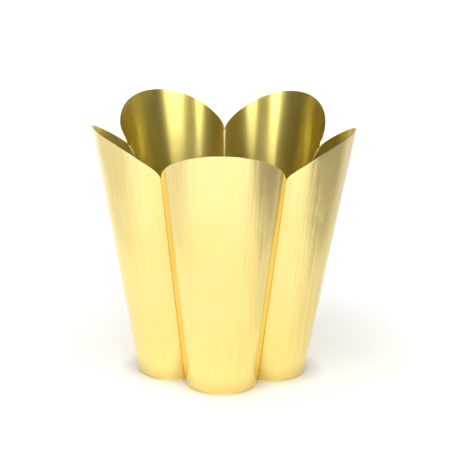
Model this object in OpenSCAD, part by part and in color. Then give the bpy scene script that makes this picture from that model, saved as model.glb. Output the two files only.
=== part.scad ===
// Brass planter pot in the shape of an open flower.
// Five petals are cut from thin brass sheet, rolled to a cone and soldered side by side
// on a scalloped base plate. The pot stands on the XY plane with its axis on +Z, and the
// front petal faces -Y.

/* [Height] */
// Height from the ground to the tips of the petals
pot_h = 200; // [190:1:230]
// Height at which neighbouring petals part
seam_h = 170.8; // [150:0.2:180]

/* [Plan at the foot] */
// Distance from the pot's axis to a seam, at the ground
foot_seam_r = 46.8; // [45:0.2:50]
// Distance from the pot's axis to the middle of a petal, at the ground
foot_tip_r = 67; // [64:0.5:71]

/* [Plan at the mouth] */
// Distance from the pot's axis to a seam, carried on up to the full height
mouth_seam_r = 83.4; // [80:0.2:88]
// Distance from the pot's axis to the middle of a petal, at the full height
mouth_tip_r = 103.3; // [99:0.1:109]

/* [Petal sheet] */
// Thickness of the sheet the petals are cut from
sheet_t = 0.8; // [0.6:0.1:1.2]
// Depth of the flange turned in along each side of a petal
flange_d = 3; // [2:0.5:5]
// How much lower the flange's top is at its inner edge than where the petals part
flange_drop = 6; // [3:1:12]

/* [Base plate] */
// Thickness of the base plate
base_t = 1.2; // [0.8:0.1:2]

/* [Solder] */
// Thickness of the solder film between two flanges
film_t = 0.2; // [0.1:0.05:0.4]
// Leg of the solder fillet around the inside of the foot
fillet_leg = 1.5; // [1:0.25:2.5]

/* [Hidden] */

// One petal fills one fifth of a turn. Its seams lie half a step each side of its middle.
petals = 5;
step = 360 / petals;
half_step = step / 2;
front_azimuth = -90;

// How far cutting shapes run past what they cut
over = 5;
cone_sides = 180;
rim_steps = 36;
brass = "#d9b45a";
solder = "#c9b98c";

// Radius of the arc that runs from seam to seam through the middle of a petal
function petal_arc_r(seam_r, tip_r) =
    let (half_chord = seam_r * sin(half_step), rise = tip_r - seam_r * cos(half_step))
    (half_chord * half_chord + rise * rise) / (2 * rise);

foot_arc_r = petal_arc_r(foot_seam_r, foot_tip_r);
mouth_arc_r = petal_arc_r(mouth_seam_r, mouth_tip_r);

// The cone that a petal is rolled on: its outermost and innermost straight lines meet at
// the apex below the ground, and its axis lies midway between them.
out_slope = (mouth_tip_r - foot_tip_r) / pot_h;
in_slope = out_slope - 2 * (mouth_arc_r - foot_arc_r) / pot_h;
lean = (atan(out_slope) + atan(in_slope)) / 2;
taper = (atan(out_slope) - atan(in_slope)) / 2;
apex_z = -2 * foot_arc_r / (out_slope - in_slope);
apex_x = foot_tip_r + out_slope * apex_z;
cone_l = (pot_h - apex_z) / cos(lean) + 2 * over;

// A petal's arc at a height: its radius, its centre and where its edge meets the seam
function arc_r(z) = foot_arc_r + (mouth_arc_r - foot_arc_r) * z / pot_h;
function arc_x(z) = foot_tip_r + out_slope * z - arc_r(z);
function seam_r(z) =
    arc_x(z) * cos(half_step) + sqrt(pow(arc_r(z), 2) - pow(arc_x(z) * sin(half_step), 2));

rim_half_w = seam_r(seam_h) * sin(half_step);
reach = mouth_tip_r + over;
slice_start = foot_seam_r / 2;

// The inner edge of a flange is a straight line in the seam's plane. Its top slopes up from
// there to the point where the petals part.
flange_top_z = seam_h - flange_drop;
flange_foot_r = seam_r(base_t) - flange_d;
flange_top_r = seam_r(flange_top_z) - flange_d;
flange_lean = atan((flange_top_r - flange_foot_r) / (flange_top_z - base_t));
bead_r = sheet_t + film_t / 2;

// A full cone coaxial with a petal, its surface set in from the petal's face by depth. It
// is turned so that the line where its face closes on itself lies opposite the petal.
module petal_cone(depth = 0)
    translate([apex_x, 0, apex_z])
        rotate([0, lean, 0])
            rotate([0, 0, 180])
                translate([0, 0, depth / sin(taper)])
                    cylinder(h = cone_l, r1 = 0, r2 = cone_l * tan(taper), $fn = cone_sides);

// The slice of the pot that one petal may fill, clear of each seam's plane by gap. It
// starts well out from the axis, so that the far wall of the cone stays out of it.
module petal_slice(gap)
    translate([gap / sin(half_step), 0, 0])
        linear_extrude(pot_h + over)
            polygon([for (side = [-1, 1], x = side < 0 ? [slice_start, reach] : [reach, slice_start])
                [x, side * x * tan(half_step)]]);

// The petal's outline seen from the front: straight foot, straight sides, elliptical top
module petal_outline()
    rotate([90, 0, 90])
        linear_extrude(reach)
            polygon(concat(
                [[reach, base_t], [reach, seam_h]],
                [for (i = [0 : rim_steps]) let (a = 180 * i / rim_steps)
                    [rim_half_w * cos(a), seam_h + (pot_h - seam_h) * sin(a)]],
                [[-reach, seam_h], [-reach, base_t]]
            ));

// Lays a profile, drawn as distance from the axis against height, in the plane of the
// seam at the given azimuth, as a plate from low to high across that plane
module seam_plate(azimuth, low, high)
    rotate([0, 0, azimuth])
        translate([0, -low, 0])
            rotate([90, 0, 0])
                linear_extrude(high - low)
                    children();

// The flange's profile, from its inner edge to the outer points given
module flange_profile(outer)
    polygon(concat([[flange_top_r, flange_top_z], [flange_foot_r, base_t]], outer));

// A flange's profile for a petal runs past the petal's face, which then trims it
module petal_flange_profile()
    flange_profile([[reach, base_t], [reach, seam_h], [seam_r(seam_h), seam_h]]);

// One petal facing +X: a rolled wall with a flange turned in along each side
module petal()
    intersection() {
        union() {
            difference() {
                petal_cone();
                petal_cone(sheet_t);
            }
            intersection() {
                petal_cone();
                union() {
                    seam_plate(-half_step, -film_t / 2 - sheet_t, over)
                        petal_flange_profile();
                    seam_plate(half_step, -over, film_t / 2 + sheet_t)
                        petal_flange_profile();
                }
            }
        }
        petal_slice(film_t / 2);
        petal_outline();
    }

// Petals are numbered from the front, turning towards the right
module petal_at(place)
    color(brass)
        rotate([0, 0, front_azimuth + place * step])
            petal();

module petal_front() petal_at(0);
module petal_right() petal_at(1);
module petal_back_right() petal_at(2);
module petal_back_left() petal_at(3);
module petal_left() petal_at(4);

// Scalloped plate, cut flush with the feet of the petals that stand on it
module base_plate()
    color(brass)
        linear_extrude(base_t) {
            for (place = [0 : petals - 1])
                rotate([0, 0, front_azimuth + place * step])
                    translate([arc_x(base_t), 0])
                        circle(r = arc_r(base_t), $fn = cone_sides);
            circle(r = arc_x(base_t), $fn = cone_sides);
        }

// Film between two flanges, ending in a half-round bead along their inner edges.
// Each seam is numbered after the petal that it lies to the right of.
module seam_solder_at(place)
    color(solder)
        rotate([0, 0, front_azimuth + half_step + place * step]) {
            seam_plate(0, -film_t / 2, film_t / 2)
                flange_profile([[foot_seam_r, base_t], [seam_r(seam_h), seam_h]]);
            intersection() {
                translate([flange_foot_r, 0, base_t])
                    rotate([0, flange_lean, 0])
                        translate([0, 0, -over])
                            cylinder(h = seam_h + 2 * over, r = bead_r, $fn = 48);
                seam_plate(0, -bead_r, bead_r)
                    polygon([
                        [flange_foot_r - over, base_t], [flange_foot_r, base_t],
                        [flange_top_r, flange_top_z],
                        [flange_top_r - over, flange_top_z - over * flange_drop / flange_d]
                    ]);
            }
        }

module seam_solder_front_right() seam_solder_at(0);
module seam_solder_right() seam_solder_at(1);
module seam_solder_back() seam_solder_at(2);
module seam_solder_left() seam_solder_at(3);
module seam_solder_front_left() seam_solder_at(4);

// Fillet in the corner between each petal's wall and the base plate, from flange to flange
module base_solder()
    color(solder)
        for (place = [0 : petals - 1])
            rotate([0, 0, front_azimuth + place * step])
                difference() {
                    intersection() {
                        petal_cone(sheet_t);
                        petal_slice(film_t / 2 + sheet_t);
                        translate([0, -reach, base_t])
                            cube([reach, 2 * reach, fillet_leg]);
                    }
                    translate([arc_x(base_t), 0, base_t])
                        cylinder(
                            h = fillet_leg,
                            r1 = arc_r(base_t) - sheet_t - fillet_leg,
                            r2 = arc_r(base_t) - sheet_t,
                            $fn = cone_sides
                        );
                }

petal_front();
petal_right();
petal_back_right();
petal_back_left();
petal_left();
base_plate();
seam_solder_front_right();
seam_solder_right();
seam_solder_back();
seam_solder_left();
seam_solder_front_left();
base_solder();
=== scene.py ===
"""The looks of a brass planter pot in the shape of an open flower.

Five petals of rolled brass sheet stand on a scalloped base plate. They are joined by runs of
hard solder along their turned-in flanges and around the inside of the foot. Each class here
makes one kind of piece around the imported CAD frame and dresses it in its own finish. Sizes are
in metres.
"""

import logging
import math
from contextlib import contextmanager
from dataclasses import dataclass, field
from enum import Enum
from typing import Callable, Iterator, Sequence

import bpy
from mathutils import Matrix, Vector, noise


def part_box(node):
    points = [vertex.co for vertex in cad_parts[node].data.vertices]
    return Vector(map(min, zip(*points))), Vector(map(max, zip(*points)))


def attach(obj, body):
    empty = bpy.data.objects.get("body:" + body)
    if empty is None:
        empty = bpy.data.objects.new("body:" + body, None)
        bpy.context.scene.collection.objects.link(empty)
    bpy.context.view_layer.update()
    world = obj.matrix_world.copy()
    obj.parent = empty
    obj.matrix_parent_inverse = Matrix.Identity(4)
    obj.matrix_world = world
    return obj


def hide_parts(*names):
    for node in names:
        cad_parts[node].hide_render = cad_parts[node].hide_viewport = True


LOG = logging.getLogger("planter")
BODY = "root"
GRAIN_MAP = "grain"
SEAM_NEAR = "seam_near"
EDGE_NEAR = "edge_near"
MM = 0.001
# Petals stand this many degrees apart, from the front one on
STEP = 72
FRONT_AZIMUTH = -90
# Points nearer than this to a line count as on it
TOUCHING = 0.01 * MM
# Halvings that settle where a rim crosses a petal
SEARCH_STEPS = 40
# Where most of a noise's values lie: a wide, a middling and a narrow range
NOISE_WIDE = (0.3, 0.7)
NOISE_MIDDLE = (0.35, 0.65)
NOISE_CORE = (0.4, 0.6)

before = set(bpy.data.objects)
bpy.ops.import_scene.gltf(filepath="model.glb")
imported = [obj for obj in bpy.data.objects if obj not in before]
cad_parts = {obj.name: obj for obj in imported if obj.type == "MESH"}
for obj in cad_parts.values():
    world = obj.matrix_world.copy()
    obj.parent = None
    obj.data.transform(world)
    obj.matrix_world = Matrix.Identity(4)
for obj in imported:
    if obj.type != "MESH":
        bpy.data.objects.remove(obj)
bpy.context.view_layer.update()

Place = Callable[[float, float], Vector]
Colour = tuple[float, float, float]


class PetalPlace(Enum):
    """The five petals, counted from the front towards the right."""

    FRONT = 0
    RIGHT = 1
    BACK_RIGHT = 2
    BACK_LEFT = 3
    LEFT = 4

    @property
    def azimuth(self) -> float:
        """Direction in plan that the petal's middle faces, in radians."""
        return math.radians(STEP * self.value + FRONT_AZIMUTH)

    @property
    def node(self) -> str:
        """Name of the CAD node that the petal stands for."""
        return f"petal_{self.name.lower()}"


class SeamPlace(Enum):
    """The five seams, each just to the right of the petal with its number."""

    FRONT_RIGHT = 0
    RIGHT = 1
    BACK = 2
    LEFT = 3
    FRONT_LEFT = 4

    @property
    def azimuth(self) -> float:
        """Direction in plan of the seam's plane, in radians."""
        return math.radians(STEP * (self.value + 0.5) + FRONT_AZIMUTH)

    @property
    def node(self) -> str:
        """Name of the CAD node that the solder stands for."""
        return f"seam_solder_{self.name.lower()}"


class Slot(Enum):
    """Material slots of the record."""

    PETAL = "petal_brass"
    BASE = "base_brass"
    SEAM = "seam_solder"
    FOOT = "base_solder"


# ---------------------------------------------------------------------------------------
# Bench: the few hand tools that every piece is made with
# ---------------------------------------------------------------------------------------


def put_down_all() -> None:
    """Deselects everything, so that the next operator acts on one object only."""
    bpy.ops.object.select_all(action="DESELECT")


def take(piece: bpy.types.Object) -> None:
    """Makes one object the only selected and the active one."""
    put_down_all()
    piece.select_set(True)
    bpy.context.view_layer.objects.active = piece


@contextmanager
def on_the_bench(piece: bpy.types.Object, mode: str = "EDGE") -> Iterator[None]:
    """Opens a piece in edit mode, and closes it again.

    Args:
        piece: The object to work on.
        mode: What is selected in edit mode: VERT, EDGE or FACE.
    """
    take(piece)
    bpy.ops.object.mode_set(mode="EDIT")
    bpy.ops.mesh.select_mode(type=mode)
    try:
        yield
    finally:
        bpy.ops.object.mode_set(mode="OBJECT")


def face_outwards() -> None:
    """Turns every face of the piece on the bench outwards."""
    bpy.ops.mesh.select_all(action="SELECT")
    bpy.ops.mesh.normals_make_consistent(inside=False)


def call_it(piece: bpy.types.Object, name: str) -> None:
    """Gives an object and its mesh one name."""
    piece.name = name
    piece.data.name = name


def pick_edges(piece: bpy.types.Object, wanted: Callable[[Vector, Vector], bool]) -> None:
    """Selects the edges whose two ends pass a test, and nothing else.

    Args:
        piece: The object, in object mode.
        wanted: A test of an edge's two end points.
    """
    mesh = piece.data
    for part in (mesh.vertices, mesh.edges, mesh.polygons):
        part.foreach_set("select", [False] * len(part))
    for edge in mesh.edges:
        ends = [mesh.vertices[i] for i in edge.vertices]
        if wanted(ends[0].co, ends[1].co):
            edge.select = True
            for end in ends:
                end.select = True


def finish_with(piece: bpy.types.Object, kind: str, **settings: object) -> None:
    """Adds a modifier with the given settings and applies it.

    Args:
        piece: The object to change.
        kind: The modifier's type, such as SOLIDIFY.
        settings: Its properties by name.
    """
    take(piece)
    modifier = piece.modifiers.new(kind.lower(), kind)
    for name, value in settings.items():
        setattr(modifier, name, value)
    bpy.ops.object.modifier_apply(modifier=modifier.name)


def smooth(piece: bpy.types.Object, angle_deg: float) -> None:
    """Shades a piece smooth, and keeps the edges sharper than the angle."""
    take(piece)
    bpy.ops.object.shade_smooth_by_angle(angle=math.radians(angle_deg))


def turn_to(piece: bpy.types.Object, azimuth: float) -> None:
    """Turns a finished mesh about the pot's axis, and leaves the turn in the mesh.

    Args:
        piece: The object, made facing +X and standing at the origin.
        azimuth: The direction in plan that it is to face, in radians.
    """
    take(piece)
    piece.rotation_euler = (0, 0, azimuth)
    bpy.ops.object.transform_apply(location=True, rotation=True, scale=True)


def own_copy(piece: bpy.types.Object, name: str) -> bpy.types.Object:
    """Copies an object together with its mesh, under a name of its own."""
    take(piece)
    bpy.ops.object.duplicate(linked=False)
    copy = bpy.context.view_layer.objects.active
    call_it(copy, name)
    return copy


def formed_sheet(name: str, columns: int, rows: int, place: Place) -> bpy.types.Object:
    """Forms a flat blank into an open sheet.

    Args:
        name: The piece's name.
        columns: Number of faces across the blank.
        rows: Number of faces up the blank.
        place: Where the point at (across, up), each from 0 to 1, goes.

    Returns:
        The formed sheet. Its faces look to the side that across times up points to.
    """
    put_down_all()
    bpy.ops.mesh.primitive_grid_add(x_subdivisions=columns, y_subdivisions=rows, size=1)
    sheet = bpy.context.view_layer.objects.active
    call_it(sheet, name)
    for vertex in sheet.data.vertices:
        vertex.co = place(vertex.co.x + 0.5, vertex.co.y + 0.5)
    return sheet


def formed_rod(name: str, sides: int, rings: int, place: Place) -> bpy.types.Object:
    """Forms a straight rod with closed ends into a long solid.

    Args:
        name: The piece's name.
        sides: Number of points around the section.
        rings: Number of faces along the rod.
        place: Where the point at (round, along), each from 0 to 1, goes.

    Returns:
        The formed solid, with its faces outwards.
    """
    put_down_all()
    bpy.ops.mesh.primitive_cylinder_add(vertices=sides, radius=1, depth=1, end_fill_type="NGON")
    rod = bpy.context.view_layer.objects.active
    call_it(rod, name)
    pick_edges(rod, lambda a, b: abs(a.z - b.z) > 0.5)
    with on_the_bench(rod):
        bpy.ops.mesh.subdivide(number_cuts=rings - 1)
    for vertex in rod.data.vertices:
        turn = math.atan2(vertex.co.y, vertex.co.x) / math.tau
        step = round(turn * sides * 4) / (4 * sides) % 1.0
        vertex.co = place(step, vertex.co.z + 0.5)
    with on_the_bench(rod, "FACE"):
        face_outwards()
    return rod


def lay_grain(piece: bpy.types.Object, where: Callable[[Vector], tuple[float, float]]) -> None:
    """Gives a piece a UV map in metres, for finishes whose lines follow its form.

    Args:
        piece: The finished mesh.
        where: The place across and along the grain of a point on the piece.
    """
    mesh = piece.data
    for old in list(mesh.uv_layers):
        mesh.uv_layers.remove(old)
    layer = mesh.uv_layers.new(name=GRAIN_MAP)
    spots = [where(v.co) for v in mesh.vertices]
    for loop in mesh.loops:
        layer.data[loop.index].uv = spots[loop.vertex_index]


def mark(piece: bpy.types.Object, name: str, amount: Callable[[Vector], float]) -> None:
    """Stores an amount at every vertex, such as how near an edge it is, for its finish."""
    layer = piece.data.attributes.new(name, "FLOAT", "POINT")
    layer.data.foreach_set("value", [amount(v.co) for v in piece.data.vertices])


def blend(low: float, high: float, share: float) -> float:
    """The value a share of the way from low to high."""
    return low + (high - low) * share


# ---------------------------------------------------------------------------------------
# Plan: the cone that the petals are rolled on
# ---------------------------------------------------------------------------------------


@dataclass(frozen=True)
class PotPlan:
    """The pot's driving sizes, and the cone that each petal is rolled on.

    A petal is described facing +X. At every height it is an arc through its two seams.
    """

    height: float
    foot_z: float
    seam_z: float
    mouth_tip: float
    foot_tip: float = 67 * MM
    foot_seam: float = 46.8 * MM
    mouth_seam: float = 83.4 * MM
    half_step: float = math.radians(STEP / 2)

    @classmethod
    def from_frame(cls) -> "PotPlan":
        """Reads the heights and the reach of the petals from the CAD nodes."""
        petal_low, petal_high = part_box("petal_front")
        plate_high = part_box("base_plate")[1]
        solder_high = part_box("seam_solder_back")[1]
        return cls(petal_high.z, plate_high.z, solder_high.z, -petal_low.y)

    def _arc(self, seam: float, tip: float) -> float:
        """Radius of the arc through a petal's two seams and its middle."""
        half_chord = seam * math.sin(self.half_step)
        rise = tip - seam * math.cos(self.half_step)
        return (half_chord**2 + rise**2) / (2 * rise)

    def tip(self, z: float) -> float:
        """Distance from the pot's axis to the petal's middle at a height."""
        return blend(self.foot_tip, self.mouth_tip, z / self.height)

    def radius(self, z: float) -> float:
        """Radius of the petal's arc at a height."""
        foot = self._arc(self.foot_seam, self.foot_tip)
        mouth = self._arc(self.mouth_seam, self.mouth_tip)
        return blend(foot, mouth, z / self.height)

    def centre(self, z: float) -> float:
        """Distance from the pot's axis to the centre of the petal's arc at a height."""
        return self.tip(z) - self.radius(z)

    def edge_angle(self, z: float, gap: float) -> float:
        """Angle from the petal's middle to its edge, about the arc's own centre.

        Args:
            z: The height.
            gap: How far the edge stays from the seam's plane.

        Returns:
            The angle in radians.
        """
        offset = (self.centre(z) * math.sin(self.half_step) - gap) / self.radius(z)
        return self.half_step + math.asin(offset)

    def seam(self, z: float) -> float:
        """Distance from the pot's axis to the seam at a height."""
        angle = self.edge_angle(z, 0)
        return self.radius(z) * math.sin(angle) / math.sin(self.half_step)

    def surface(self, angle: float, z: float, depth: float = 0.0) -> Vector:
        """A point on the petal, at an angle about its arc's centre, a depth below its face."""
        radius = self.radius(z) - depth
        return Vector((self.centre(z) + radius * math.cos(angle), radius * math.sin(angle), z))

    def rim_z(self, share: float, gap: float) -> float:
        """Height of the rim where it crosses the petal a share of the way out to its edge.

        Args:
            share: From 0 at the petal's middle to 1 at its edge.
            gap: How far the edge stays from the seam's plane.

        Returns:
            The height at which the elliptical outline meets the petal.
        """
        half_width = self.seam(self.seam_z) * math.sin(self.half_step)
        low, high = self.seam_z, self.height
        for _ in range(SEARCH_STEPS):
            middle = (low + high) / 2
            across = self.surface(share * self.edge_angle(middle, gap), middle).y / half_width
            up = (middle - self.seam_z) / (self.height - self.seam_z)
            if across**2 + up**2 < 1:
                low = middle
            else:
                high = middle
        return low


@dataclass(frozen=True)
class HandWork:
    """How one petal was cut, opened and rolled by hand. Pairs give the clockwise side first.

    Attributes:
        fullness: Shape of the rim: 2 for a true ellipse, more for a fuller curve.
        opened: How far each side was bent outwards at the rim.
        flat_at: Angle from the petal's middle to a band that was left a little flat.
        flat_depth: How far in the middle of that band lies.
    """

    fullness: tuple[float, float]
    opened: tuple[float, float] = (0.0, 0.0)
    flat_at: float = 0.0
    flat_depth: float = 0.0


HAND_WORK = {
    PetalPlace.FRONT: HandWork((2.05, 1.97)),
    PetalPlace.RIGHT: HandWork((1.9, 2.0)),
    PetalPlace.BACK_RIGHT: HandWork((1.95, 2.02), (-0.7 * MM, 0.0)),
    PetalPlace.BACK_LEFT: HandWork(
        (2.15, 2.05), (0.0, 3.0 * MM), flat_at=math.radians(-23), flat_depth=1.3 * MM
    ),
    PetalPlace.LEFT: HandWork((1.85, 2.08)),
}


# ---------------------------------------------------------------------------------------
# Finishes
# ---------------------------------------------------------------------------------------


class NodeBoard:
    """A node tree with short ways to add and join nodes."""

    def __init__(self, tree: bpy.types.NodeTree) -> None:
        """Takes a tree as it is."""
        self.tree = tree

    def add(self, kind: str, **settings: object) -> bpy.types.Node:
        """Adds a node with the given properties."""
        node = self.tree.nodes.new(kind)
        for name, value in settings.items():
            setattr(node, name, value)
        return node

    def join(self, source: bpy.types.NodeSocket, target: bpy.types.NodeSocket) -> None:
        """Links an output to an input."""
        self.tree.links.new(source, target)

    def feed(self, socket: bpy.types.NodeSocket, value: object) -> None:
        """Links an output to an input, or sets the input to a plain value."""
        if isinstance(value, bpy.types.NodeSocket):
            self.join(value, socket)
        else:
            socket.default_value = value

    def grain(self, scale: tuple[float, float], detail: float = 2.0) -> bpy.types.NodeSocket:
        """Noise drawn out along the grain.

        Args:
            scale: Spots in a metre across the grain and along it.
            detail: How many finer layers the noise has.

        Returns:
            The noise, from 0 to 1.
        """
        uv = self.add("ShaderNodeUVMap", uv_map=GRAIN_MAP)
        mapping = self.add("ShaderNodeMapping")
        self.join(uv.outputs["UV"], mapping.inputs["Vector"])
        mapping.inputs["Scale"].default_value = (scale[0], scale[1], 1)
        return self.noise(mapping.outputs["Vector"], 1.0, detail)

    def cloud(self, scale: float, detail: float = 2.0) -> bpy.types.NodeSocket:
        """Noise in the piece's own space, with that many spots in a metre."""
        spot = self.add("ShaderNodeTexCoord")
        return self.noise(spot.outputs["Object"], scale, detail)

    def noise(
        self, vector: bpy.types.NodeSocket, scale: float, detail: float
    ) -> bpy.types.NodeSocket:
        """A noise texture read at a vector.

        Args:
            vector: Where it is read.
            scale: Spots in one unit of the vector.
            detail: How many finer layers the noise has.

        Returns:
            The noise, from 0 to 1.
        """
        texture = self.add("ShaderNodeTexNoise")
        self.join(vector, texture.inputs["Vector"])
        texture.inputs["Scale"].default_value = scale
        texture.inputs["Detail"].default_value = detail
        return texture.outputs["Fac"]

    def marked(self, name: str) -> bpy.types.NodeSocket:
        """An amount that was stored at the piece's vertices."""
        return self.add("ShaderNodeAttribute", attribute_name=name).outputs["Fac"]

    def spread(
        self, value: object, low: float, high: float, out_low: object, out_high: object
    ) -> bpy.types.NodeSocket:
        """Maps a range of values onto another and holds it there.

        Args:
            value: What is mapped.
            low: The value that gives out_low.
            high: The value that gives out_high.
            out_low: The first end of the new range, a number or an output.
            out_high: Its other end.

        Returns:
            The mapped value.
        """
        node = self.add("ShaderNodeMapRange")
        for name, given in (
            ("Value", value),
            ("From Min", low),
            ("From Max", high),
            ("To Min", out_low),
            ("To Max", out_high),
        ):
            self.feed(node.inputs[name], given)
        return node.outputs["Result"]

    def sum(self, *terms: object) -> bpy.types.NodeSocket:
        """Adds values up."""
        return self._chain("ADD", terms)

    def product(self, *terms: object) -> bpy.types.NodeSocket:
        """Multiplies values."""
        return self._chain("MULTIPLY", terms)

    def largest(self, *terms: object) -> bpy.types.NodeSocket:
        """Takes the largest of the values."""
        return self._chain("MAXIMUM", terms)

    def _chain(self, operation: str, terms: Sequence[object]) -> bpy.types.NodeSocket:
        """Joins values one after another by one operation."""
        total = terms[0]
        for term in terms[1:]:
            node = self.add("ShaderNodeMath", operation=operation)
            self.feed(node.inputs[0], total)
            self.feed(node.inputs[1], term)
            total = node.outputs["Value"]
        return total

    def tint(self, amount: object, first: object, second: object) -> bpy.types.NodeSocket:
        """Mixes two colours, each a colour or an output."""
        node = self.add("ShaderNodeMix", data_type="RGBA")
        sockets = {s.identifier: s for s in node.inputs}
        self.feed(sockets["Factor_Float"], amount)
        for name, colour in (("A_Color", first), ("B_Color", second)):
            self.feed(sockets[name], (*colour, 1.0) if isinstance(colour, tuple) else colour)
        return {s.identifier: s for s in node.outputs}["Result_Color"]

    def relief(self, height: object, depth: float, under: object = None) -> bpy.types.NodeSocket:
        """A bump of the given depth in metres, on top of another if one is given."""
        node = self.add("ShaderNodeBump")
        node.inputs["Strength"].default_value = 1.0
        node.inputs["Distance"].default_value = depth
        self.feed(node.inputs["Height"], height)
        if under is not None:
            self.feed(node.inputs["Normal"], under)
        return node.outputs["Normal"]


class MaterialBoard(NodeBoard):
    """A new material's node tree, with a Principled shader."""

    def __init__(self, name: str) -> None:
        """Starts the material."""
        self.material = bpy.data.materials.new(name)
        self.material.use_nodes = True
        super().__init__(self.material.node_tree)
        self.tree.nodes.clear()
        self.shader = self.add("ShaderNodeBsdfPrincipled")
        output = self.add("ShaderNodeOutputMaterial")
        self.join(self.shader.outputs["BSDF"], output.inputs["Surface"])

    def give(self, name: str, value: object) -> None:
        """Feeds a named input of the shader."""
        self.feed(self.shader.inputs[name], value)


@dataclass(frozen=True)
class BrassFinish:
    """Worked brass: how smooth it is, how it was rubbed, how it has toned, and painted shade
    beside its seams.

    Attributes:
        name: The material's name.
        light: Colour of clean metal.
        deep: Colour where it has toned down.
        groove_shade: Darker, more orange colour beside a seam: painted shade of the groove there.
        smoothness: Roughness where the metal is smoothest, and where it is dullest.
        lines_per_m: Fine rubbed lines in a metre, across the grain map and along it.
        line_depth: Depth of the fine rubbed lines.
        toned_lines_per_m: Upright lines in a metre where the tone shifts a little.
        line_tone: How much they shift it, from 0 to 1.
        waves_per_m: Broad, soft swells in a metre that rolling leaves.
        wave_depth: Depth of those swells.
        dull_spots_per_m: Spots in a metre where the metal is duller.
        clouds_per_m: Clouds of toned metal in a metre.
        groove_shade_share: How much of that painted shade a seam shows, at least and at most.
        edge_tone: How clean the metal is along its edges, from 0 to 1.
        spread: How much more the rubbing scatters light up and down than sideways, 0 to 1.
    """

    name: str
    light: Colour = (0.94, 0.785, 0.315)
    deep: Colour = (0.90, 0.735, 0.265)
    # Painted shade: the groove beside each seam, darker and more orange
    groove_shade: Colour = (0.86, 0.62, 0.2)
    smoothness: tuple[float, float] = (0.06, 0.13)
    lines_per_m: tuple[float, float] = (2400, 40)
    line_depth: float = 0.003 * MM
    toned_lines_per_m: tuple[float, float] = (1100, 14)
    line_tone: float = 0.22
    waves_per_m: tuple[float, float] = (200, 9)
    wave_depth: float = 0.012 * MM
    dull_spots_per_m: float = 45
    clouds_per_m: float = 16
    groove_shade_share: tuple[float, float] = (0.35, 0.8)
    edge_tone: float = 0.5
    spread: float = 0.0

    def material(self) -> bpy.types.Material:
        """Builds the material."""
        board = MaterialBoard(self.name)
        fine = board.grain(self.lines_per_m)
        broad = board.grain(self.waves_per_m)
        spots = board.cloud(self.dull_spots_per_m, 3.0)
        mixed = board.sum(board.product(fine, 0.5), board.product(spots, 0.5))
        board.give("Base Color", self._colour(board, broad))
        board.give("Roughness", board.spread(mixed, *NOISE_MIDDLE, *self.smoothness))
        board.give("Metallic", 1.0)
        if self.spread:
            board.give("Anisotropic", self.spread)
            board.give("Anisotropic Rotation", 0.25)
            lie = board.add("ShaderNodeTangent", direction_type="UV_MAP", uv_map=GRAIN_MAP)
            board.give("Tangent", lie.outputs["Tangent"])
        waves = board.relief(broad, self.wave_depth)
        board.give("Normal", board.relief(fine, self.line_depth, waves))
        return board.material

    def _colour(self, board: NodeBoard, broad: bpy.types.NodeSocket) -> bpy.types.NodeSocket:
        """The metal's colour: toned in clouds and lines, painted shade beside the seams, clean at
        edges.

        Args:
            board: The material.
            broad: The broad swells, from 0 to 1.

        Returns:
            The colour.
        """
        toned = board.cloud(self.clouds_per_m)
        amount = board.spread(board.sum(toned, board.product(broad, 0.6)), 0.6, 1.0, 0.0, 1.0)
        colour = board.tint(amount, self.light, self.deep)
        lines = board.spread(
            board.grain(self.toned_lines_per_m), *NOISE_CORE, 0.0, self.line_tone
        )
        colour = board.tint(lines, colour, self.deep)
        # Painted shade beside each seam, where the groove between two petals lies
        groove_shade = board.product(
            board.marked(SEAM_NEAR), board.spread(toned, *NOISE_WIDE, *self.groove_shade_share)
        )
        colour = board.tint(groove_shade, colour, self.groove_shade)
        edge = board.product(board.marked(EDGE_NEAR), self.edge_tone)
        return board.tint(edge, colour, self.light)


@dataclass(frozen=True)
class SolderFinish:
    """Hard solder: paler and rougher than the sheet, with a skin of fine dimples. Its paleness is
    partly painted highlight.

    Attributes:
        name: The material's name.
        bright: Colour where it is clean; pale enough that a seam reads as a bright line, partly
            painted highlight.
        dull: Colour where it has toned.
        smoothness: Roughness where it is smoothest, and where it is dullest.
        dimples_per_m: Dimples in a metre.
        dimple_depth: Depth of the dimples.
        clouds_per_m: Clouds of toned metal in a metre.
    """

    name: str
    # Paler than the sheet: partly the solder's own colour, partly a painted highlight along the
    # seams
    bright: Colour = (0.95, 0.88, 0.56)
    dull: Colour = (0.9, 0.8, 0.44)
    smoothness: tuple[float, float] = (0.42, 0.52)
    dimples_per_m: float = 300
    dimple_depth: float = 0.006 * MM
    clouds_per_m: float = 60

    def material(self) -> bpy.types.Material:
        """Builds the material."""
        board = MaterialBoard(self.name)
        dimples = board.cloud(self.dimples_per_m)
        toned = board.spread(board.cloud(self.clouds_per_m), *NOISE_MIDDLE, 0, 1)
        board.give("Base Color", board.tint(toned, self.bright, self.dull))
        board.give("Roughness", board.spread(dimples, *NOISE_WIDE, *self.smoothness))
        board.give("Metallic", 1.0)
        board.give("Normal", board.relief(dimples, self.dimple_depth))
        return board.material


# ---------------------------------------------------------------------------------------
# Pieces
# ---------------------------------------------------------------------------------------


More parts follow.
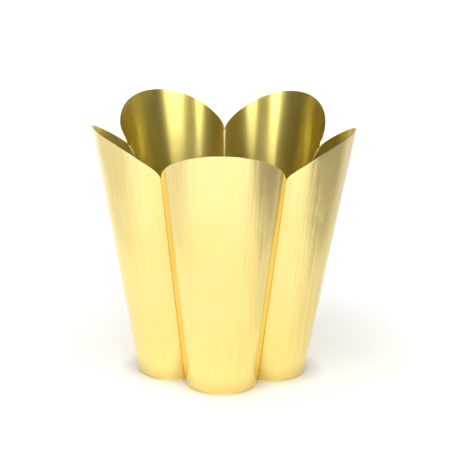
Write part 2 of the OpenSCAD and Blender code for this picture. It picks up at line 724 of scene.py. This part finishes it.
@dataclass
class PetalRow:
    """Five petals, each a blank cut from sheet, rolled on a cone and flanged at its sides.

    Attributes:
        plan: The pot's sizes.
        sheet: Thickness of the brass.
        film: Gap that the solder fills between two flanges.
        flange: Depth of the flange turned in along each side.
        flange_drop: How much lower the flange's top is at its inner edge.
        fold: Set-back of the fold between wall and flange.
        least_flange: Depth of the flange at its very top, in set-backs of the fold.
        edge: Width of the broken edge all round the sheet.
        groove_shade_reach: How far from a seam the painted groove shade reaches.
        worn: How far from the rim and the foot the metal is rubbed clean.
        held: How far from a seam and from the foot the solder keeps the sheet in shape.
        swell: Depth of the broad swells that rolling by hand leaves.
        swell_size: Their width and height.
        ripple: Depth of the narrow ones.
        ripple_size: Their width and height.
        flat_width: Width of a band that rolling left a little flat.
        loose: Share of the rim's height over which a bent side comes free of the seam.
        seed: What sets one petal's swells apart from the next one's.
        columns: Faces across a petal.
        rows: Faces up a petal.
        crowding: How much the faces crowd towards a petal's sides, from 0 to 1.
    """

    plan: PotPlan
    sheet: float = 0.8 * MM
    film: float = 0.2 * MM
    flange: float = 3 * MM
    flange_drop: float = 6 * MM
    fold: float = 0.4 * MM
    least_flange: float = 2.2
    edge: float = 0.22 * MM
    groove_shade_reach: float = 3.5 * MM
    worn: float = 2.5 * MM
    held: tuple[float, float] = (12 * MM, 30 * MM)
    swell: float = 0.28 * MM
    swell_size: tuple[float, float] = (34 * MM, 150 * MM)
    ripple: float = 0.035 * MM
    ripple_size: tuple[float, float] = (11 * MM, 220 * MM)
    flat_width: float = 9.5 * MM
    loose: float = 0.5
    seed: float = 17.3
    columns: int = 80
    rows: int = 64
    crowding: float = 0.4

    def build(self) -> list[bpy.types.Object]:
        """Makes one petal and copies it to its five places."""
        outside = BrassFinish("polished_brass").material()
        # The inside gets darker, more olive colours than the outside: painted shade of the pot's
        # hollow, on a brushed finish
        inside = BrassFinish(
            "brushed_brass_painted_shade",
            light=(0.88, 0.75, 0.25),
            deep=(0.83, 0.70, 0.19),
            smoothness=(0.34, 0.44),
            lines_per_m=(30, 1700),
            line_depth=0.004 * MM,
            spread=0.9,
        ).material()
        cut = BrassFinish("filed_brass_edge", smoothness=(0.2, 0.34)).material()
        pattern = self._pattern([outside, inside, cut])
        petals = []
        for place in PetalPlace:
            petal = own_copy(pattern, f"{place.name.lower()}_petal_sheet")
            self._hand_work(petal, place)
            turn_to(petal, place.azimuth)
            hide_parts(place.node)
            petals.append(petal)
        bpy.data.objects.remove(pattern)
        return petals

    def _pattern(self, finishes: Sequence[bpy.types.Material]) -> bpy.types.Object:
        """Makes the petal that the others are copied from, facing +X."""
        petal = formed_sheet("petal_pattern", self.columns, self.rows, self._rolled)
        self._turn_flanges(petal)
        for finish in finishes:
            petal.data.materials.append(finish)
        finish_with(
            petal,
            "SOLIDIFY",
            thickness=self.sheet,
            offset=-1.0,
            use_even_offset=True,
            material_offset=1,
            material_offset_rim=2,
        )
        finish_with(
            petal,
            "BEVEL",
            width=self.edge,
            segments=3,
            limit_method="ANGLE",
            angle_limit=math.radians(60),
            material=2,
        )
        lay_grain(petal, self._grain)
        # Nearness to a seam, which places the painted groove shade
        mark(petal, SEAM_NEAR, lambda p: math.exp(-self._from_seam(p) / self.groove_shade_reach))
        mark(petal, EDGE_NEAR, self._edge_near)
        smooth(petal, 50)
        finish_with(petal, "WEIGHTED_NORMAL", keep_sharp=True)
        return petal

    def _rolled(self, across: float, up: float) -> Vector:
        """Where a point of the flat blank lies once the petal is rolled."""
        evenly = 2 * across - 1
        crowded = self.crowding * math.sin(evenly * math.pi / 2)
        share = (1 - self.crowding) * evenly + crowded
        gap = self.film / 2
        z = blend(self.plan.foot_z, self.plan.rim_z(share, gap), up)
        return self.plan.surface(share * self.plan.edge_angle(z, gap), z)

    def _turn_flanges(self, petal: bpy.types.Object) -> None:
        """Turns a flange in along each side, and rounds the fold."""
        half = self.plan.half_step
        for side in (-1, 1):
            pick_edges(petal, lambda a, b: self._on_edge(a, side) and self._on_edge(b, side))
            inward = Vector((-math.cos(half), -side * math.sin(half), 0))
            with on_the_bench(petal):
                bpy.ops.mesh.extrude_edges_move(
                    TRANSFORM_OT_translate={"value": inward * self.flange}
                )
            for vertex in petal.data.vertices:
                if vertex.select:
                    vertex.co -= inward * (self.flange - self.flange_at(vertex.co.z))
            pick_edges(petal, lambda a, b: self._on_fold(a, side) and self._on_fold(b, side))
            with on_the_bench(petal):
                bpy.ops.mesh.bevel(
                    offset=self.fold, segments=4, profile=0.5, affect="EDGES", clamp_overlap=True
                )

    def flange_at(self, z: float) -> float:
        """Depth of the flange at a height: it narrows towards its top."""
        share = min(1.0, (self.plan.seam_z - z) / self.flange_drop)
        return blend(self.least_flange * self.fold, self.flange, max(0.0, share))

    def _on_edge(self, point: Vector, side: int) -> bool:
        """Tells whether a point lies where one side of the petal meets its seam."""
        half = self.plan.half_step
        away = point.x * math.sin(half) - side * point.y * math.cos(half)
        return abs(away - self.film / 2) < TOUCHING and side * point.y > 0

    def _on_fold(self, point: Vector, side: int) -> bool:
        """Tells whether a point lies on the fold line of one side."""
        out = math.hypot(point.x, point.y)
        on_line = abs(out - self.plan.seam(point.z)) < 0.8 * self.fold
        return on_line and self._on_edge(point, side)

    def _from_seam(self, point: Vector) -> float:
        """Distance of a point from the nearer seam's plane."""
        half = self.plan.half_step
        return max(0.0, point.x * math.sin(half) - abs(point.y) * math.cos(half))

    def _edge_near(self, point: Vector) -> float:
        """How near a point is to the rim or the foot, from 0 to 1 at the edge."""
        plan = self.plan
        angle = abs(math.atan2(point.y, point.x - plan.centre(point.z)))
        share = min(1.0, angle / plan.edge_angle(min(point.z, plan.seam_z), 0))
        rim = plan.rim_z(share, 0)
        return math.exp(-max(0.0, min(rim - point.z, point.z - plan.foot_z)) / self.worn)

    def _grain(self, point: Vector) -> tuple[float, float]:
        """Place of a point across and along the sheet's grain."""
        plan = self.plan
        angle = math.atan2(point.y, point.x - plan.centre(point.z))
        return angle * plan.radius(plan.height / 2), point.z

    def _hand_work(self, petal: bpy.types.Object, place: PetalPlace) -> None:
        """Gives a petal its own rim, and the slight unevenness of sheet rolled by hand.

        Args:
            petal: The petal, facing +X.
            place: Which petal it is, so that no two are alike.
        """
        plan, work = self.plan, HAND_WORK[place]
        seed = self.seed * (place.value + 1)
        half_width = plan.seam(plan.seam_z) * math.sin(plan.half_step)
        rise = plan.height - plan.seam_z
        for vertex in petal.data.vertices:
            point = vertex.co
            angle = math.atan2(point.y, point.x - plan.centre(point.z))
            aside = min(0.999, abs(point.y) / half_width)
            if point.z > plan.seam_z:
                depth = plan.radius(point.z) - math.hypot(point.x - plan.centre(point.z), point.y)
                fullness = work.fullness[point.y > 0]
                drawn = rise * math.sqrt(1 - aside**2)
                cut = rise * (1 - aside**fullness) ** (1 / fullness)
                lift = min(1.0, (point.z - plan.seam_z) / drawn) * (cut - drawn)
                point = plan.surface(angle, point.z + lift, depth)
                above = (point.z - plan.seam_z) / (self.loose * rise)
                freed = math.sin(min(1.0, above) * math.pi / 2)
                outwards = math.copysign(freed * aside, point.y)
                point.y += work.opened[point.y > 0] * outwards
            from_foot = point.z - plan.foot_z
            held_by = min(self._from_seam(point) / self.held[0], from_foot / self.held[1])
            free = max(0.0, min(1.0, held_by))
            across = angle * plan.radius(point.z)
            wide, high = self.swell_size
            swell = noise.noise(Vector((across / wide, point.z / high, seed)))
            wide, high = self.ripple_size
            ripple = noise.noise(Vector((across / wide, point.z / high, seed + 5)))
            shift = free * (self.swell * swell + self.ripple * ripple)
            from_flat = (angle - work.flat_at) * plan.radius(point.z) / self.flat_width
            shift -= free * work.flat_depth * math.exp(-(from_flat**2) / 2) * point.z / plan.height
            vertex.co = point + shift * Vector((math.cos(angle), math.sin(angle), 0))


@dataclass
class BasePlate:
    """The scalloped plate under the petals, filed nearly flush with their feet.

    Attributes:
        plan: The pot's sizes.
        proud: How far its edge stands out past the petals' feet.
        broken_edge: Width of its broken edges.
        points_per_lobe: Points of its outline in one lobe.
    """

    plan: PotPlan
    proud: float = 0.03 * MM
    broken_edge: float = 0.2 * MM
    points_per_lobe: int = 48

    def build(self) -> bpy.types.Object:
        """Cuts the plate and rounds its edges."""
        plan = self.plan
        lobes = len(PetalPlace)
        put_down_all()
        bpy.ops.mesh.primitive_circle_add(
            vertices=lobes * self.points_per_lobe, radius=1, fill_type="NGON"
        )
        plate = bpy.context.view_layer.objects.active
        call_it(plate, "scalloped_base_plate")
        edge_angle = plan.edge_angle(plan.foot_z, 0)
        radius = plan.radius(plan.foot_z) + self.proud
        for vertex in plate.data.vertices:
            lobe, step = divmod(vertex.index, self.points_per_lobe)
            angle = edge_angle * (2 * step / self.points_per_lobe - 1)
            facing = Matrix.Rotation(PetalPlace(lobe).azimuth, 3, "Z")
            out = Vector((plan.centre(plan.foot_z), 0, 0))
            reach = Vector((radius * math.cos(angle), radius * math.sin(angle), plan.foot_z))
            vertex.co = facing @ (out + reach)
        with on_the_bench(plate, "FACE"):
            face_outwards()
            bpy.ops.mesh.extrude_region_move(
                TRANSFORM_OT_translate={"value": (0, 0, -plan.foot_z)}
            )
            face_outwards()
        finish_with(
            plate,
            "BEVEL",
            width=self.broken_edge,
            segments=4,
            limit_method="ANGLE",
            angle_limit=math.radians(60),
        )
        lay_grain(plate, lambda p: (p.x, p.y))
        for name in (SEAM_NEAR, EDGE_NEAR):
            mark(plate, name, lambda p: 0.0)
        finish = BrassFinish("satin_brass_plate", light=(0.86, 0.7, 0.3), smoothness=(0.3, 0.42))
        plate.data.materials.append(finish.material())
        smooth(plate, 40)
        finish_with(plate, "WEIGHTED_NORMAL", keep_sharp=True)
        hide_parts("base_plate")
        return plate


@dataclass
class SeamSolder:
    """Runs of hard solder: a film between two flanges, with a bead along their inner edges.

    Attributes:
        plan: The pot's sizes.
        petals: The petals that it joins.
        lap: Radius of the bead, as a share of what just covers the two flanges.
        waviness: How much the bead swells and shrinks, as a share of its radius.
        wave: Length over which it does.
        depth: How far the bead stands out inwards, as a share of its radius.
        nose: Length of the bead's rounded top.
        tip: The bead's radius at the very top, as a share of the rest.
        filled: How much of the gap the film fills, as a share of its thickness.
        short: How far short of the petals' faces the film stops, in set-backs of the fold.
        seed: What sets one run's unevenness apart from the next one's.
        sides: Points around the section.
        rings: Faces along a run.
        crowding: How much the faces crowd towards the top, where 1 is not at all.
    """

    plan: PotPlan
    petals: PetalRow
    lap: float = 1.1
    waviness: float = 0.03
    wave: float = 30 * MM
    depth: float = 0.9
    nose: float = 1.2 * MM
    tip: float = 0.15
    filled: float = 0.98
    short: float = 0.7
    seed: float = 3.1
    sides: int = 20
    rings: int = 90
    crowding: float = 1.6

    def build(self) -> list[bpy.types.Object]:
        """Makes the five runs, each with its own unevenness."""
        finish = SolderFinish("seam_solder_metal").material()
        runs = []
        for place in SeamPlace:
            name = f"{place.name.lower()}_seam_run"
            section = self._section(self.seed * place.value)
            run = formed_rod(name, self.sides, self.rings, section)
            run.data.materials.append(finish)
            smooth(run, 60)
            turn_to(run, place.azimuth)
            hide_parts(place.node)
            runs.append(run)
        return runs

    def _section(self, seed: float) -> Place:
        """The solder's section: a bead on the inner side, a thin film to the outside.

        Args:
            seed: What sets this run's unevenness apart.

        Returns:
            The place of a point around and along the run, in the seam's plane facing +X.
        """
        plan, petals = self.plan, self.petals
        bead = self.lap * (petals.sheet + petals.film / 2)
        top = plan.seam_z - petals.fold

        def place(turn: float, along: float) -> Vector:
            """Sets one point of the section."""
            z = blend(plan.foot_z, top, 1 - (1 - along) ** self.crowding)
            flange = petals.flange_at(z)
            inner = plan.seam(z) - flange
            angle = math.tau * turn
            full = 1 + self.waviness * noise.noise(Vector((z / self.wave, seed, 0)))
            full *= max(self.tip, math.sqrt(min(1.0, (top - z) / self.nose)))
            if math.cos(angle) <= 0.01:
                back = -self.depth * bead * full * abs(math.cos(angle))
                return Vector((inner + back, bead * full * math.sin(angle), z))
            out = (flange - self.short * petals.fold) * math.cos(angle)
            aside = 0.0 if abs(math.sin(angle)) < 0.01 else math.copysign(1, math.sin(angle))
            return Vector((inner + out, aside * self.filled / 2 * petals.film, z))

        return place


@dataclass
class FootSolder:
    """The fillet of solder in the corner between each petal's wall and the base plate.

    Attributes:
        plan: The pot's sizes.
        petals: The petals that stand on the plate.
        leg: Width and height of the fillet.
        waviness: How much the leg varies, as a share of it.
        waves: How fast it does, in a turn of one radian.
        reach: Share of the way to the flanges that it runs.
        seed: What sets one run's unevenness apart from the next one's.
        sides: Points around the section.
        rings: Faces along one petal's run.
    """

    plan: PotPlan
    petals: PetalRow
    leg: float = 1.5 * MM
    waviness: float = 0.18
    waves: float = 6
    reach: float = 0.985
    seed: float = 2.7
    sides: int = 12
    rings: int = 80

    def build(self) -> bpy.types.Object:
        """Makes one run per petal and joins the five into one piece."""
        finish = SolderFinish("foot_solder_metal", dull=(0.6, 0.5, 0.26)).material()
        runs = []
        for place in PetalPlace:
            name = f"{place.name.lower()}_foot_run"
            section = self._section(self.seed * place.value)
            run = formed_rod(name, self.sides, self.rings, section)
            turn_to(run, place.azimuth)
            runs.append(run)
        put_down_all()
        for run in runs:
            run.select_set(True)
        bpy.context.view_layer.objects.active = runs[0]
        bpy.ops.object.join()
        fillet = bpy.context.view_layer.objects.active
        call_it(fillet, "foot_solder_fillet")
        fillet.data.materials.append(finish)
        smooth(fillet, 40)
        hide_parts("base_solder")
        return fillet

    def _section(self, seed: float) -> Place:
        """The fillet's hollow section, run along the inside of one petal's foot.

        Args:
            seed: What sets this run's unevenness apart.

        Returns:
            The place of a point around and along the run, for a petal facing +X.
        """
        plan, petals = self.plan, self.petals
        reach = plan.edge_angle(plan.foot_z, petals.film / 2 + petals.sheet) * self.reach

        def place(turn: float, along: float) -> Vector:
            """Sets one point of the section."""
            angle = blend(-reach, reach, along)
            wave = noise.noise(Vector((angle * self.waves, seed, 0)))
            leg = self.leg * (1 + self.waviness * wave)
            third = 3 * turn
            if third < 1:
                inward, up = leg * (1 - third), 0.0
            elif third < 2:
                inward, up = 0.0, leg * (third - 1)
            else:
                bow = (third - 2) * math.pi / 2
                inward, up = leg * (1 - math.cos(bow)), leg * (1 - math.sin(bow))
            return plan.surface(angle, plan.foot_z + up, petals.sheet + inward)

        return place


# ---------------------------------------------------------------------------------------
# Studio
# ---------------------------------------------------------------------------------------


@dataclass(frozen=True)
class Softbox:
    """A soft rectangular light.

    Attributes:
        name: The light's name.
        place: Where its middle is.
        towards: The point it faces.
        size: Its width and height.
        brightness: How bright its face looks, where white paper is about 1.
        lights_floor: Whether it lights the floor, and not only the metal.
    """

    name: str
    place: tuple[float, float, float]
    towards: tuple[float, float, float]
    size: tuple[float, float]
    brightness: float
    lights_floor: bool = True

    def hang(self) -> None:
        """Hangs the light."""
        bpy.ops.object.light_add(type="AREA", location=self.place)
        light = bpy.context.view_layer.objects.active
        light.name = self.name
        light.data.shape = "RECTANGLE"
        light.data.size, light.data.size_y = self.size
        light.data.energy = self.brightness * math.pi * self.size[0] * self.size[1]
        facing = Vector(self.towards) - Vector(self.place)
        light.rotation_euler = facing.to_track_quat("-Z", "Y").to_euler()
        light.visible_camera = False
        light.visible_diffuse = self.lights_floor


@dataclass(frozen=True)
class DarkPatch:
    """A dark patch on the floor with a soft edge, which only shows in reflections: painted shade
    that darkens what the metal reflects.

    Attributes:
        name: The patch's name.
        middle: Its middle on the floor.
        size: Its width and depth.
        depth: How much of the floor's light it takes away, from 0 to 1.
        colour: Colour of the patch.
        clouds: Clouds across the patch.
        cloudy: How much they break up its edge.
        rays: Streaks in a radian about the pot's axis, and along a streak in a metre.
        streaky: How much they break up its edge.
        fade: From how near its edge it begins to show, and where it shows fully.
    """

    name: str
    middle: tuple[float, float]
    size: tuple[float, float]
    depth: float
    colour: Colour = (0.12, 0.07, 0.055)
    clouds: float = 9
    cloudy: float = 0.35
    rays: tuple[float, float] = (14, 4)
    streaky: float = 0.5
    fade: tuple[float, float] = (0.05, 0.45)

    def lay(self) -> None:
        """Lays the patch just above the floor."""
        bpy.ops.mesh.primitive_plane_add(size=1, location=(*self.middle, 2 * MM))
        patch = bpy.context.view_layer.objects.active
        patch.name = self.name
        patch.scale = (*self.size, 1)
        board = MaterialBoard(self.name)
        spot = board.add("ShaderNodeTexCoord").outputs["Object"]
        fall = board.add("ShaderNodeTexGradient", gradient_type="SPHERICAL")
        scaled = board.add("ShaderNodeMapping")
        board.join(spot, scaled.inputs["Vector"])
        scaled.inputs["Scale"].default_value = (2, 2, 2)
        board.join(scaled.outputs["Vector"], fall.inputs["Vector"])
        clouds = board.product(board.cloud(self.clouds, 3.0), self.cloudy)
        smear = board.sum(clouds, board.product(self._rays(board, spot), self.streaky))
        edge = board.sum(fall.outputs["Fac"], smear, -(self.cloudy + self.streaky) / 2)
        board.give("Base Color", (*self.colour, 1.0))
        board.give("Alpha", board.spread(edge, *self.fade, 0.0, self.depth))
        patch.data.materials.append(board.material)
        patch.visible_camera = False
        patch.visible_diffuse = False
        patch.visible_shadow = False

    def _rays(self, board: NodeBoard, spot: bpy.types.NodeSocket) -> bpy.types.NodeSocket:
        """Noise drawn out away from the pot's axis, which the metal shows as upright streaks.

        Args:
            board: The patch's material.
            spot: The place on the patch.

        Returns:
            The noise, from 0 to 1.
        """
        on_floor = board.add("ShaderNodeMapping")
        board.join(spot, on_floor.inputs["Vector"])
        on_floor.inputs["Scale"].default_value = (*self.size, 1)
        on_floor.inputs["Location"].default_value = (*self.middle, 0)
        split = board.add("ShaderNodeSeparateXYZ")
        board.join(on_floor.outputs["Vector"], split.inputs[0])
        turn = board.add("ShaderNodeMath", operation="ARCTAN2")
        board.join(split.outputs["Y"], turn.inputs[0])
        board.join(split.outputs["X"], turn.inputs[1])
        away = board.add("ShaderNodeVectorMath", operation="LENGTH")
        board.join(on_floor.outputs["Vector"], away.inputs[0])
        polar = board.add("ShaderNodeCombineXYZ")
        around, outwards = self.rays
        board.join(board.product(turn.outputs["Value"], around), polar.inputs["X"])
        board.join(board.product(away.outputs["Value"], outwards), polar.inputs["Y"])
        return board.noise(polar.outputs["Vector"], 1.0, 3.0)


@dataclass
class Studio:
    """A white floor, soft light and the camera.

    Attributes:
        distance: From the camera to the point it looks at.
        elevation: Angle of the line of sight below the horizon, in degrees.
        roll: Turn of the camera about its line of sight, in degrees.
        lens: Focal length on a sensor 36 mm wide, in millimetres.
        aim: The point it looks at.
        strip_turn: Angle of each strip light from straight in front, in degrees.
        strip_away: Distance of the strip lights from the pot's axis.
        strip_height: Height of their middles.
        floor_colour: Colour of the floor.
        floor_reach: Distances from the pot between which the floor's glow changes.
        floor_glow: Light that the floor gives by itself, near the pot and far from it.
        floor_tint: Colour of that light, near the pot and far from it.
        contact: How far from the pot's foot that light is blocked.
        room: Brightness of the room around the lamps.
        room_right: How much brighter the room is on the right.
        backdrop: Brightness of the white backdrop behind the pot.
        backdrop_side: How far back the backdrop's two sides begin and are full.
        backdrop_top: How high it begins to fade and ends.
    """

    distance: float = 1.576
    elevation: float = 18.51
    roll: float = 0.74
    lens: float = 158.6
    aim: Vector = field(default_factory=lambda: Vector((5.35, 3.97, 109.06)) * MM)
    strip_turn: float = 23
    strip_away: float = 1.3
    strip_height: float = 0.36
    floor_colour: Colour = (0.84, 0.84, 0.83)
    floor_reach: tuple[float, float] = (0.1, 0.45)
    floor_glow: tuple[float, float] = (0.63, 0.90)
    floor_tint: tuple[Colour, Colour] = ((1.0, 0.97, 0.92), (1.0, 1.0, 1.2))
    contact: float = 0.018
    room: float = 0.09
    room_right: float = 2.8
    backdrop: float = 1.1
    backdrop_side: tuple[float, float] = (0.55, 0.85)
    backdrop_top: tuple[float, float] = (0.3, 0.55)

    def build(self) -> None:
        """Sets up everything around the pot."""
        self._camera()
        self._floor()
        self._room()
        Softbox("overhead_softbox", (-0.15, -0.45, 1.3), (0, -0.2, 0), (0.9, 0.7), 3.7).hang()
        for side, name in ((-1, "left"), (1, "right")):
            turn = math.radians(self.strip_turn) * side
            out = self.strip_away
            place = (out * math.sin(turn), -out * math.cos(turn), self.strip_height)
            strip = f"{name}_strip_softbox"
            Softbox(strip, place, (0, 0, 0.25), (0.38, 0.56), 10.0, lights_floor=False).hang()
        # Painted shade seen only in the metal: darker floor to the front right and on both sides
        DarkPatch("dark_patch_front_right", (0.435, -0.13), (0.5, 0.7), 0.8).lay()
        DarkPatch("dim_right_side", (0.59, 0.12), (1.1, 1.4), 0.4).lay()
        DarkPatch("dim_left_side", (-0.65, -0.05), (1.0, 1.4), 0.3).lay()
        bpy.context.scene.view_settings.view_transform = "Standard"

    def _camera(self) -> None:
        """Puts the camera at the height and distance of someone looking down at a table."""
        tilt = math.radians(self.elevation)
        forward = Vector((0, math.cos(tilt), -math.sin(tilt)))
        right = Matrix.Rotation(math.radians(-self.roll), 3, forward) @ Vector((1, 0, 0))
        up = right.cross(forward)
        turn = Matrix((right, up, -forward)).transposed().to_euler()
        bpy.ops.object.camera_add(location=self.aim - forward * self.distance, rotation=turn)
        camera = bpy.context.view_layer.objects.active
        camera.name = "studio_camera"
        camera.data.lens = self.lens
        camera.data.sensor_width = 36
        bpy.context.scene.camera = camera

    def _floor(self) -> None:
        """Lays a wide white floor with a painted glow, dimmer and warmer near the pot as painted
        shade.
        """
        bpy.ops.mesh.primitive_plane_add(size=14, location=(0, 0, 0))
        floor = bpy.context.view_layer.objects.active
        floor.name = "studio_floor"
        board = MaterialBoard("white_floor")
        board.give("Base Color", (*self.floor_colour, 1.0))
        board.give("Roughness", 0.9)
        board.give("Specular IOR Level", 0.1)
        spot = board.add("ShaderNodeTexCoord")
        reach = board.add("ShaderNodeVectorMath", operation="LENGTH")
        board.join(spot.outputs["Object"], reach.inputs[0])
        # Painted shade: the glow is dimmer and warmer near the pot, and ambient occlusion takes it
        # away at the foot as a painted contact shadow
        away = board.spread(reach.outputs["Value"], *self.floor_reach, 0, 1)
        glow = board.spread(away, 0, 1, *self.floor_glow)
        open_sky = board.add("ShaderNodeAmbientOcclusion", samples=16)
        open_sky.inputs["Distance"].default_value = self.contact
        board.give("Emission Strength", board.product(glow, open_sky.outputs["AO"]))
        board.give("Emission Color", board.tint(away, *self.floor_tint))
        floor.data.materials.append(board.material)

    def _room(self) -> None:
        """Makes the room: dim around the lamps, with a white backdrop behind the pot."""
        world = bpy.data.worlds.new("studio_room")
        bpy.context.scene.world = world
        world.use_nodes = True
        board = NodeBoard(world.node_tree)
        split = board.add("ShaderNodeSeparateXYZ")
        board.join(board.add("ShaderNodeTexCoord").outputs["Generated"], split.inputs["Vector"])
        behind = board.spread(split.outputs["Y"], *self.backdrop_side, 0, 1)
        below = board.spread(split.outputs["Z"], *self.backdrop_top, 1, 0)
        path = board.add("ShaderNodeLightPath")
        seen = board.largest(board.product(behind, below), path.outputs["Is Camera Ray"])
        dim = board.spread(split.outputs["X"], 0, 1, self.room, self.room_right * self.room)
        background = board.tree.nodes["Background"]
        board.join(board.spread(seen, 0, 1, dim, self.backdrop), background.inputs["Strength"])
        background.inputs["Color"].default_value = (1, 1, 1, 1)


# ---------------------------------------------------------------------------------------
# The whole pot
# ---------------------------------------------------------------------------------------


def hand_over(pieces: Sequence[bpy.types.Object], slot: Slot) -> None:
    """Sets pieces on the pot's body and logs how many faces each has."""
    for piece in pieces:
        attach(piece, BODY)
        LOG.info("%s: %d faces", piece.name, len(piece.data.polygons))


def main() -> None:
    """Builds the studio and the pot's pieces in order."""
    logging.basicConfig(level=logging.INFO, format="%(name)s %(message)s")
    Studio().build()
    plan = PotPlan.from_frame()
    petals = PetalRow(plan)
    hand_over(petals.build(), Slot.PETAL)
    hand_over([BasePlate(plan).build()], Slot.BASE)
    hand_over(SeamSolder(plan, petals).build(), Slot.SEAM)
    hand_over([FootSolder(plan, petals).build()], Slot.FOOT)


if __name__ == "__main__":
    main()
